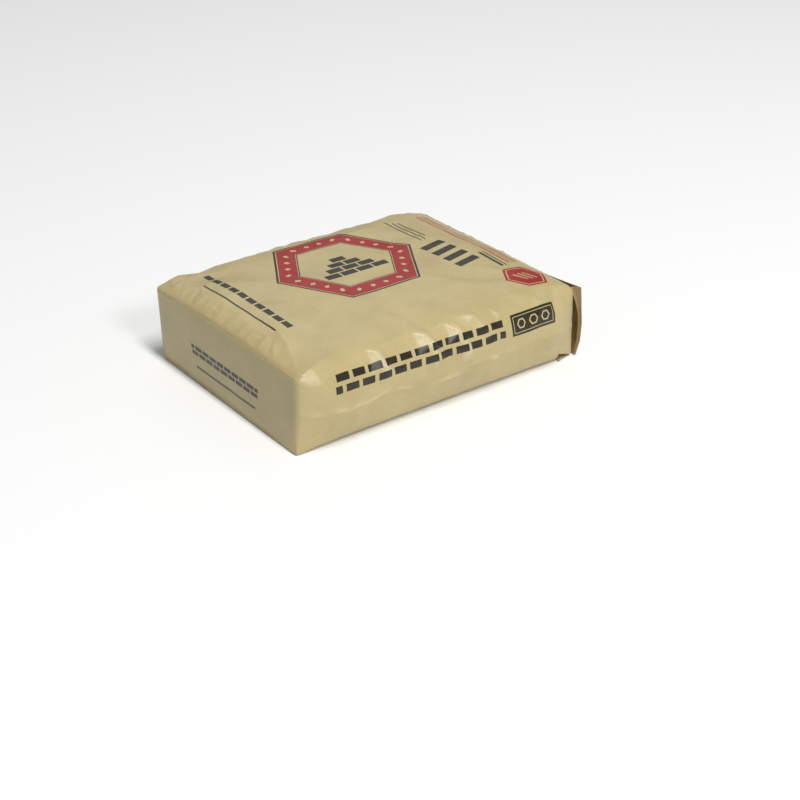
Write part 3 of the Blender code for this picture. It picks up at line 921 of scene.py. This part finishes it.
# A ring is given by how far in from the hexagon's sides its middle is, and half its width.
EMBLEM_CENTRE, EMBLEM_APOTHEM = (-4, 53), 112
EMBLEM_RINGS = ((1.8, 1.8), (20, 15), (37, 0.9))
STUDS, STUD_SHARPNESS, STUD_REACH = 24, 5.2, 0.0055
# The wall's courses: how far above the emblem's middle, and half the length. Then half a course's height.
WALL_COURSES, COURSE_HALF = [(-31.5, 60), (-13.5, 45), (4.5, 30), (22.5, 15)], 8.9
SEAL_CENTRE, SEAL_APOTHEM, SEAL_RING, SEAL_STEP, SEAL_BAR = (203, -142), 33, (5, 1.0), 9, (1.6, 13)
BOX_CENTRE, BOX_HALF, BOX_INSETS, BOX_STEP, NUT = (162, -231), (44, 17.5), (0, 4, 5.2), 24, (6.5, 1.1)


def stamp(tree, sheet, centre, half, turn=0.0, bricks=None):
    """Where a bar of the print lies. Its bricks, if it has any, run along its longer way."""
    turn = math.radians(turn)
    if bricks and half[1] > half[0]:
        turn, half = turn + math.pi / 2, half[::-1]
    middle = (centre[0] * MM, centre[1] * MM, 0)
    local = add(tree, "Mapping", {
        "Vector": sheet, "Location": middle, "Rotation": (0, 0, turn),
    }, vector_type="TEXTURE")
    size = add(tree, "VectorMath", {0: local}, operation="ABSOLUTE")
    spare = add(tree, "VectorMath", {0: size, 1: (half[0] * MM, half[1] * MM, 1)}, operation="SUBTRACT")
    parts = add(tree, "SeparateXYZ", {0: spare}).outputs
    widest = add(tree, "Math", {0: parts["X"], 1: parts["Y"]}, operation="MAXIMUM")
    inside = add(tree, "Math", {0: widest, 1: 0.0}, operation="LESS_THAN")
    if not bricks:
        return inside
    length, row, joint = bricks
    corner = add(tree, "VectorMath", {0: local, 1: (half[0] * MM, half[1] * MM, 0)}, operation="ADD")
    wall = add(tree, "TexBrick", {
        "Vector": corner, "Scale": 1.0, "Mortar Size": joint, "Mortar Smooth": 0.0,
        "Brick Width": length, "Row Height": row,
    }, offset=0.5 if half[1] * MM > row * 0.6 else 0.0)
    return without(tree, inside, wall.outputs[1])


def hexagon(tree, sheet, centre):
    """Each point's distance from a hexagon's middle, measured square to the sides, and its angle."""
    middle = (centre[0] * MM, centre[1] * MM, 0)
    local = add(tree, "VectorMath", {0: sheet, 1: middle}, operation="SUBTRACT")
    whole = add(tree, "SeparateXYZ", {0: local}).outputs
    size = add(tree, "VectorMath", {0: local}, operation="ABSOLUTE")
    flat = add(tree, "SeparateXYZ", {0: size}).outputs
    slant = add(tree, "VectorMath", {0: size, 1: (0.8660, 0.5, 0)}, operation="DOT_PRODUCT")
    reach = add(tree, "Math", {0: slant.outputs["Value"], 1: flat["Y"]}, operation="MAXIMUM")
    angle = add(tree, "Math", {0: whole["Y"], 1: whole["X"]}, operation="ARCTAN2")
    return reach, angle


def ring(tree, reach, middle, half):
    """Where the distance from a hexagon's middle is within half of the ring's own."""
    return add(tree, "Math", {0: reach, 1: middle * MM, 2: half * MM}, operation="COMPARE")


def off_middle(tree, value, middle, scale=1.0):
    """How far a value is from its middle, scaled."""
    for operation, other in (("SUBTRACT", middle), ("ABSOLUTE", 0.0), ("MULTIPLY", scale)):
        value = add(tree, "Math", {0: value, 1: other}, operation=operation)
    return value


def joined(tree, masks):
    """Where any of the masks is."""
    total = masks[0]
    for mask in masks[1:]:
        total = add(tree, "Math", {0: total, 1: mask}, operation="MAXIMUM")
    return total


def without(tree, mask, gaps):
    """The mask with the gaps taken out."""
    return add(tree, "Math", {0: mask, 1: gaps}, operation="SUBTRACT", use_clamp=True)


def top_print(tree, sheet):
    """A plain building-trade design of hexagons, bricks and bars: where the charcoal and the red inks lie."""
    charcoal = [stamp(tree, sheet, *bar) for bar in CHARCOAL_BARS]
    red = [stamp(tree, sheet, *bar) for bar in RED_BARS]
    reach, angle = hexagon(tree, sheet, EMBLEM_CENTRE)
    rim, band, line = (ring(tree, reach, EMBLEM_APOTHEM - inset, half) for inset, half in EMBLEM_RINGS)
    charcoal += [rim, line]
    turned = add(tree, "Math", {0: angle, 1: STUDS / (2 * math.pi)}, operation="MULTIPLY")
    share = add(tree, "Math", {0: turned}, operation="FRACT")
    beside_stud = off_middle(tree, share, 0.5, STUD_SHARPNESS)
    across = off_middle(tree, reach, (EMBLEM_APOTHEM - EMBLEM_RINGS[1][0]) * MM, 1 / STUD_REACH)
    spread = add(tree, "Math", {0: beside_stud, 1: across}, operation="ADD")
    studs = add(tree, "Math", {0: spread, 1: 1.0}, operation="LESS_THAN")
    red.append(without(tree, band, studs))
    for up, half in WALL_COURSES:
        centre = (EMBLEM_CENTRE[0], EMBLEM_CENTRE[1] + up)
        charcoal.append(stamp(tree, sheet, centre, (half, COURSE_HALF), 0, WALL_BRICKS))
    seal, _ = hexagon(tree, sheet, SEAL_CENTRE)
    plate = add(tree, "Math", {0: seal, 1: SEAL_APOTHEM * MM}, operation="LESS_THAN")
    plate = without(tree, plate, ring(tree, seal, SEAL_APOTHEM - SEAL_RING[0], SEAL_RING[1]))
    for step in (-SEAL_STEP, 0, SEAL_STEP):
        bar = stamp(tree, sheet, (SEAL_CENTRE[0] + step, SEAL_CENTRE[1]), SEAL_BAR, 30)
        plate = without(tree, plate, bar)
    red.append(plate)
    box, outer, inner = (
        stamp(tree, sheet, BOX_CENTRE, (BOX_HALF[0] - inset, BOX_HALF[1] - inset)) for inset in BOX_INSETS
    )
    box = without(tree, box, without(tree, outer, inner))
    for step in (-BOX_STEP, 0, BOX_STEP):
        nut, _ = hexagon(tree, sheet, (BOX_CENTRE[0] + step, BOX_CENTRE[1]))
        box = without(tree, box, ring(tree, nut, *NUT))
    charcoal.append(box)
    return joined(tree, charcoal), joined(tree, red)


def end_print(tree, sheet):
    """The closed end's rows of bricks and its line, in charcoal only."""
    return joined(tree, [stamp(tree, sheet, *bar) for bar in END_BARS]), None


# Cloudy patches, clumps of fibre and bark flecks in the paper: their size in metres, detail and roughness.
PAPER_GRAINS = ((0.075, 3.0, 0.55), (0.007, 3.0, 0.6), (0.0011, 1.0, 0.5))
FIBRE_LENGTH, FIBRE_WIDTH, CRUMPLE_SIZE, INK_PATCH = 0.009, 0.0006, 0.045, 0.0016
CRUMPLE_DEPTH, CLUMP_DEPTH, FIBRE_DEPTH = 0.00035, 0.00022, 0.00004


def kraft_material(name, tint, dark_tint, printed=None):
    """Kraft paper, machine-finished and lightly sized: long brown wood fibres, cloudy, with a satin face.

    It gives the eye a warm tan with faint streaks and flecks, soft wide highlights, and paler folds: a
    painted highlight on the crests and end folds, with rubbed wear.
    Real fibres are 0.03 mm wide, too fine to show, so they are drawn ten times as wide.
    """
    material, tree, shader = new_material(name)
    sheet = add(tree, "UVMap", uv_map="sheet")
    clouds, clumps, flecks = (
        add(tree, "TexNoise", {"Vector": sheet, "Scale": 1 / size, "Detail": detail, "Roughness": rough})
        for size, detail, rough in PAPER_GRAINS
    )
    drawn = add(tree, "Mapping", {"Vector": sheet, "Scale": (1 / FIBRE_LENGTH, 1 / FIBRE_WIDTH, 1)})
    fibres = add(tree, "TexNoise", {"Vector": drawn, "Scale": 1.0, "Detail": 2.0, "Roughness": 0.5})
    depth = -0.275
    for grain, strength in ((clumps, 0.35), (fibres, 0.30), (clouds, 0.9)):
        depth = add(tree, "Math", {0: grain, 1: strength, 2: depth}, operation="MULTIPLY_ADD")
    fleck = add(tree, "MapRange", {"Value": flecks, "From Min": 0.66, "From Max": 0.74, "To Max": 0.35})
    # Paler where folds stand highest and along the end folds: a painted highlight, with rubbed wear.
    crest_wear_and_highlight = add(tree, "Attribute", attribute_name="crest_wear_and_highlight").outputs["Fac"]
    wear_and_painted_highlight = add(tree, "MapRange", {"Value": crest_wear_and_highlight, "From Min": 0.35, "From Max": 1.0, "To Max": 0.45})
    along = add(tree, "SeparateXYZ", {0: sheet})
    along = add(tree, "Math", {0: along}, operation="ABSOLUTE")
    fold_edge_wear_and_highlight = add(tree, "MapRange", {
        "Value": off_middle(tree, along, LENGTH / 2),
        "From Min": 0.0004, "From Max": 0.0026, "To Min": 0.14, "To Max": 0.0,
    })
    wear_and_painted_highlight = add(tree, "Math", {0: wear_and_painted_highlight, 1: fold_edge_wear_and_highlight}, operation="MAXIMUM")
    layers = [(depth, dark_tint), (fleck, FLECK_TINT), (wear_and_painted_highlight, WEAR_AND_HIGHLIGHT_TINT)]
    if printed:
        charcoal, red = printed(tree, sheet)
        patches = add(tree, "TexNoise", {
            "Vector": sheet, "Scale": 1 / INK_PATCH, "Detail": 4.0, "Roughness": 0.65,
        })
        hold = add(tree, "MapRange", {
            "Value": patches, "From Min": 0.28, "From Max": 0.46, "To Min": 0.86, "To Max": 0.99,
        })
        for mask, ink in ((red, RED_INK), (charcoal, CHARCOAL_INK)):
            if mask:
                layers.append((add(tree, "Math", {0: mask, 1: hold}, operation="MULTIPLY"), ink))
    paper = linear(tint)
    for share, colour in layers:
        laid = add(tree, "Mix", {"Factor": share, 6: paper, 7: linear(colour)}, data_type="RGBA")
        paper = laid.outputs[2]
    gloss = add(tree, "MapRange", {"Value": clumps, "To Min": 0.30, "To Max": 0.36})
    crumples = add(tree, "TexNoise", {
        "Vector": sheet, "Scale": 1 / CRUMPLE_SIZE, "Detail": 3.0, "Roughness": 0.5, "Lacunarity": 2.2,
    }, noise_type="RIDGED_MULTIFRACTAL", normalize=False)
    bump = add(tree, "Bump", {"Height": crumples, "Strength": 1.0, "Distance": CRUMPLE_DEPTH})
    for height, rise in ((clumps, CLUMP_DEPTH), (fibres, FIBRE_DEPTH)):
        bump = add(tree, "Bump", {"Height": height, "Strength": 1.0, "Distance": rise, "Normal": bump})
    shader.inputs["IOR"].default_value = 1.47
    tree.links.new(paper, shader.inputs["Base Color"])
    tree.links.new(gloss.outputs[0], shader.inputs["Roughness"])
    tree.links.new(bump.outputs[0], shader.inputs["Normal"])
    return material


def grained_material(name, grain, detail, rough, tints, depth, roughness):
    """A matt material of two tints in one grain, given by its size along x, y and z and by its depth."""
    material, tree, shader = new_material(name)
    place = add(tree, "TexCoord").outputs["Object"]
    drawn = add(tree, "Mapping", {"Vector": place, "Scale": [1 / size for size in grain]})
    grains = add(tree, "TexNoise", {"Vector": drawn, "Scale": 1.0, "Detail": detail, "Roughness": rough})
    first, second = (linear(tint) for tint in tints)
    colour = add(tree, "Mix", {"Factor": grains, 6: first, 7: second}, data_type="RGBA")
    bump = add(tree, "Bump", {"Height": grains, "Strength": 1.0, "Distance": depth})
    tree.links.new(colour.outputs[2], shader.inputs["Base Color"])
    tree.links.new(bump.outputs[0], shader.inputs["Normal"])
    shader.inputs["Roughness"].default_value = roughness
    return material


def sleeve_material_painted_shade():
    """Unbleached sack paper, soft-sized: darker and matter than the outside, with the same fibres. Its dark
    brown also paints the shade in the gap behind the valve flap.
    """
    fibre = (0.0006, 0.006, 0.0006)
    return grained_material("sleeve_paper_painted_shade", fibre, 3.0, 0.5, ("8a6c43", "6b5130"), 0.0001, 0.75)


def cement_material():
    """Portland cement: a dead matt grey powder, faintly lumpy where it has been pressed."""
    lump = (0.004, 0.004, 0.004)
    return grained_material("portland_cement_powder", lump, 6.0, 0.7, ("9a9a94", "83837d"), 0.0006, 0.95)


def main():
    set_camera()
    set_studio()
    kraft = kraft_material("printed_kraft_paper", "cab986", "aa996c", top_print)
    # A slightly darker copy of the printed kraft for the closed end, which faces away from the lamps: painted
    # shade.
    end_kraft_painted_shade = kraft_material("printed_end_kraft_painted_shade", "c0b07e", "a09164", end_print)
    plain_kraft = kraft_material("plain_kraft_paper", "c4b483", "a3946a")
    sack, unit = make_sack(kraft)
    cement = make_cement_load(sack, unit, cement_material())
    cut_valve_window(sack)
    closed_cover = make_closed_end_cover(end_kraft_painted_shade)
    # The valve end's cover is brown kraft, darkened further so that its tint paints the shade inside the open
    # flap.
    brown_kraft_painted_shade = kraft_material("brown_cover_kraft_painted_shade", "a68c5e", "8b734a")
    valve_cover = make_valve_end_cover(brown_kraft_painted_shade)
    sleeve = make_valve_sleeve(sleeve_material_painted_shade())
    seam = make_glued_seam(plain_kraft)
    fold = make_loose_fold(plain_kraft)
    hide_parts("sack_tube")
    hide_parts("cement_fill")
    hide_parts("closed_end_patch")
    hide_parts("valve_end_patch")
    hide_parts("valve_sleeve")
    finishes = {
        sack: "kraft_paper", seam: "kraft_paper", fold: "kraft_paper",
        closed_cover: "patch_kraft_paper", valve_cover: "patch_kraft_paper", cement: "cement_powder",
        sleeve: "sleeve_kraft_paper",
    }
    for piece, finish in finishes.items():
        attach(piece, "root")


main()
